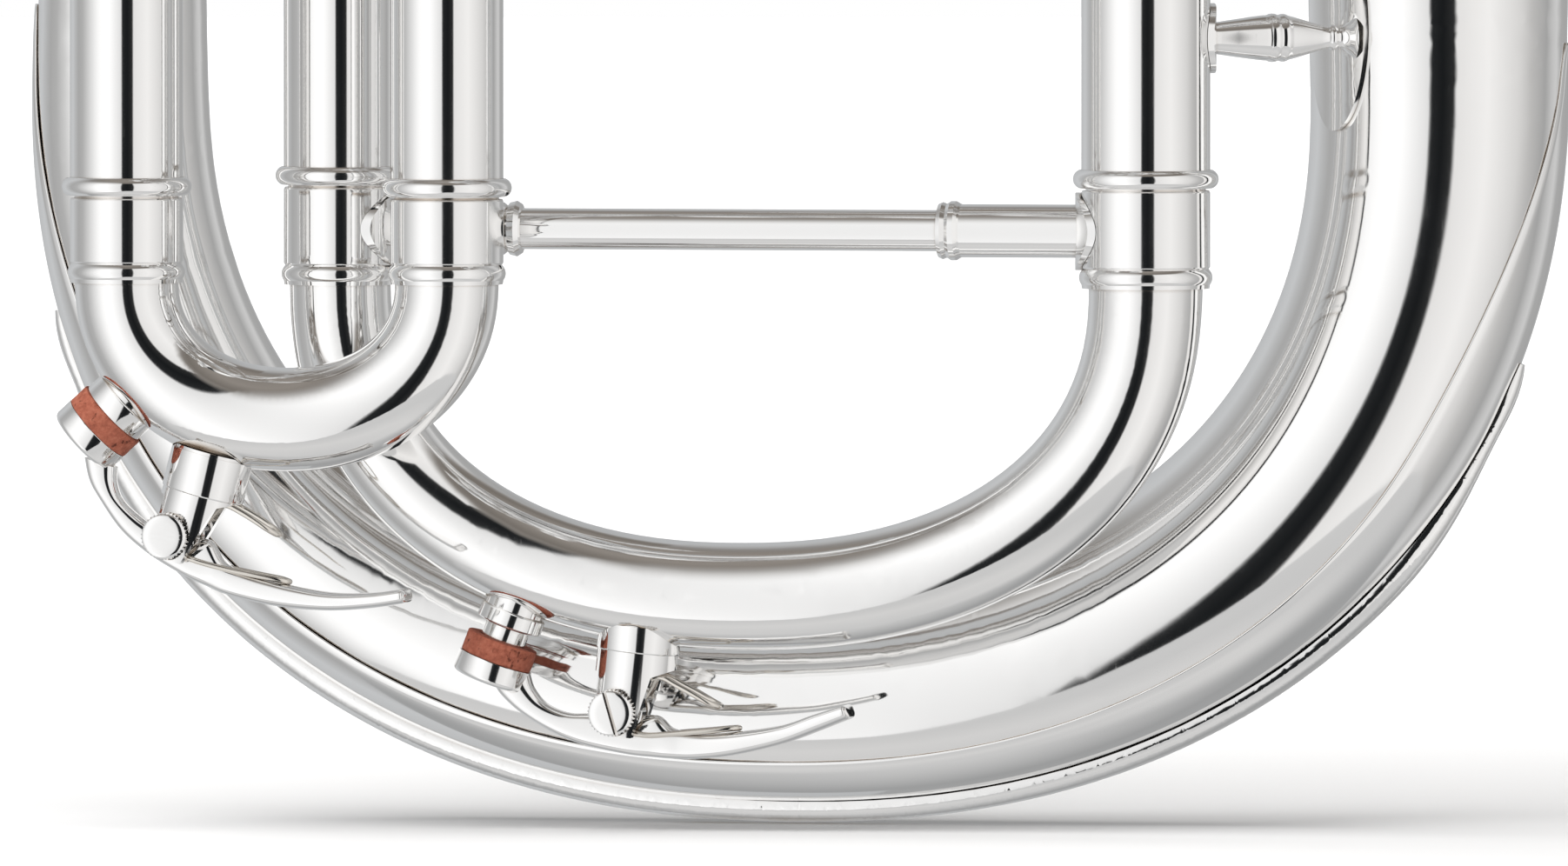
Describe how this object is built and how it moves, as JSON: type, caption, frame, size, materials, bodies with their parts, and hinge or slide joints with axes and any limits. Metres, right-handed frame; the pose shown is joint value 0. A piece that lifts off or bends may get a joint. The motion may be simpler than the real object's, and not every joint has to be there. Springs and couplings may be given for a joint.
{
  "type": "tenor tuba",
  "caption": "Small silver-plated tuba with an upright bell, piston valves, a guarded bottom bow and tuning slides with cork water keys.",
  "frame": {"origin": "under the middle of the bottom bow, at the level of the guard rail", "axes": "+Z points along the bell, +X from the narrow leg of the bottom bow to its wide leg, -Y is the side of the slides and valves"},
  "size_m": [0.3563, 0.2864, 0.6414],
  "materials": {
    "silver_plate": "bright silver plate, mirror polished",
    "nickel_plate": "honed nickel plate",
    "cork": "dense reddish cork composition, matt",
    "spring_steel": "drawn wire, lightly tinted",
    "pearl": "pearl insert of the finger buttons"
  },
  "bodies": {
    "root": {"bell": "silver_plate", "bell_rim_wire": "silver_plate", "bottom_bow": "silver_plate", "bow_guard": "silver_plate", "guard_rail": "silver_plate", "branch_ferrules": "silver_plate", "left_branch": "silver_plate", "top_bow": "silver_plate", "right_branch": "silver_plate", "leadpipe": "silver_plate", "mouthpiece_receiver": "silver_plate", "valve_casings": "silver_plate", "valve_top_caps": "silver_plate", "valve_bottom_caps": "silver_plate", "valve_knuckles": "silver_plate", "third_slide_outer_tubes": "silver_plate", "main_slide_inlet_tube": "silver_plate", "main_slide_outlet_tube": "silver_plate", "slide_end_rings": "silver_plate", "first_slide_outer_tubes": "silver_plate", "second_slide_outer_tubes": "silver_plate", "bow_stay": "silver_plate", "bow_stay_feet": "silver_plate", "leg_stay": "silver_plate", "body_stays": "silver_plate", "thumb_ring": "silver_plate", "strap_rings": "silver_plate", "valve_spring_1": "spring_steel", "valve_spring_2": "spring_steel", "valve_spring_3": "spring_steel"},
    "main_slide": {"main_slide_inner_tubes": "silver_plate", "main_slide_crook": "silver_plate", "main_slide_ferrules": "silver_plate", "main_slide_brace_rod": "silver_plate", "main_slide_brace_sockets": "silver_plate", "main_key_seat": "silver_plate", "main_key_bracket": "silver_plate", "main_key_screw": "silver_plate", "main_key_spring": "spring_steel"},
    "main_key": {"main_key_lever": "silver_plate", "main_key_cork": "cork"},
    "third_slide": {"third_slide_inner_tubes": "silver_plate", "third_slide_crook": "silver_plate", "third_slide_ferrules": "silver_plate", "third_key_seat": "silver_plate", "third_key_bracket": "silver_plate", "third_key_screw": "silver_plate", "third_key_spring": "spring_steel"},
    "third_key": {"third_key_lever": "silver_plate", "third_key_cork": "cork"},
    "first_slide": {"first_slide": "silver_plate"},
    "second_slide": {"second_slide": "silver_plate"},
    "piston_1": {"piston_1": "nickel_plate", "finger_button_1": "silver_plate"},
    "piston_2": {"piston_2": "nickel_plate", "finger_button_2": "silver_plate"},
    "piston_3": {"piston_3": "nickel_plate", "finger_button_3": "silver_plate"},
    "mouthpiece": {"mouthpiece": "silver_plate"}
  },
  "joints": [
    {"name": "piston_1_press", "type": "slide", "parent": "root", "child": "piston_1", "axis": [0, 0, -1], "range_m": [0, 0.017], "stiffness_N_per_m": 150, "springref_m": -0.0167, "deforming": ["valve_spring_1"]},
    {"name": "piston_2_press", "type": "slide", "parent": "root", "child": "piston_2", "axis": [0, 0, -1], "range_m": [0, 0.017], "stiffness_N_per_m": 150, "springref_m": -0.0167, "deforming": ["valve_spring_2"]},
    {"name": "piston_3_press", "type": "slide", "parent": "root", "child": "piston_3", "axis": [0, 0, -1], "range_m": [0, 0.017], "stiffness_N_per_m": 150, "springref_m": -0.0167, "deforming": ["valve_spring_3"]},
    {"name": "main_slide_pull", "type": "slide", "parent": "root", "child": "main_slide", "axis": [0, 0, -1], "range_m": [0, 0.055]},
    {"name": "third_slide_pull", "type": "slide", "parent": "root", "child": "third_slide", "axis": [0, 0, -1], "range_m": [0, 0.05]},
    {"name": "first_slide_pull", "type": "slide", "parent": "root", "child": "first_slide", "axis": [0, 0, -1], "range_m": [0, 0.028]},
    {"name": "second_slide_pull", "type": "slide", "parent": "root", "child": "second_slide", "axis": [0, -1, 0], "range_m": [0, 0.011]},
    {"name": "main_key_open", "type": "hinge", "parent": "main_slide", "child": "main_key", "pos_m": [-0.02207, -0.029, 0.01773], "axis": [0, -1, 0], "range_deg": [0, 12], "stiffness_Nm_per_rad": 0.05, "springref_deg": -20.05, "deforming": ["main_key_spring"]},
    {"name": "third_key_open", "type": "hinge", "parent": "third_slide", "child": "third_key", "pos_m": [-0.08611, -0.0465, 0.04422], "axis": [0, -1, 0], "range_deg": [0, 12], "stiffness_Nm_per_rad": 0.05, "springref_deg": -20.05, "deforming": ["third_key_spring"]},
    {"name": "mouthpiece_pull", "type": "slide", "parent": "root", "child": "mouthpiece", "axis": [-0.848, 0.5299, 0], "range_m": [0, 0.028]}
  ]
}
